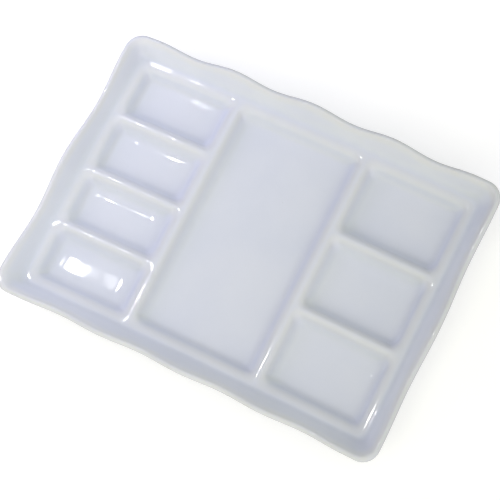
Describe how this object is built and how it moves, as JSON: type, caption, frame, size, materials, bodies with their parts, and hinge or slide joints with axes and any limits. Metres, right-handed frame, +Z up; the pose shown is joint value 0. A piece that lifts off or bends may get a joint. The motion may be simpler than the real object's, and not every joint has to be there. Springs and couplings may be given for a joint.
{
  "type": "mixing palette",
  "caption": "Rectangular glazed porcelain mixing palette: a long central mixing well with columns of smaller paint wells on either side, in a flared, scalloped rim on a flat foot ring.",
  "frame": {"origin": "centre of the plane that the foot ring stands on", "axes": "+Z up out of the wells, +X along the length towards the column of wider wells, +Y along the width"},
  "size_m": [0.2616, 0.1876, 0.023],
  "materials": {
    "white_glaze": "glossy clear glaze over white porcelain, bare and matt only on the foot ring it stands on"
  },
  "bodies": {
    "root": {"palette_body": "white_glaze"}
  },
  "joints": []
}
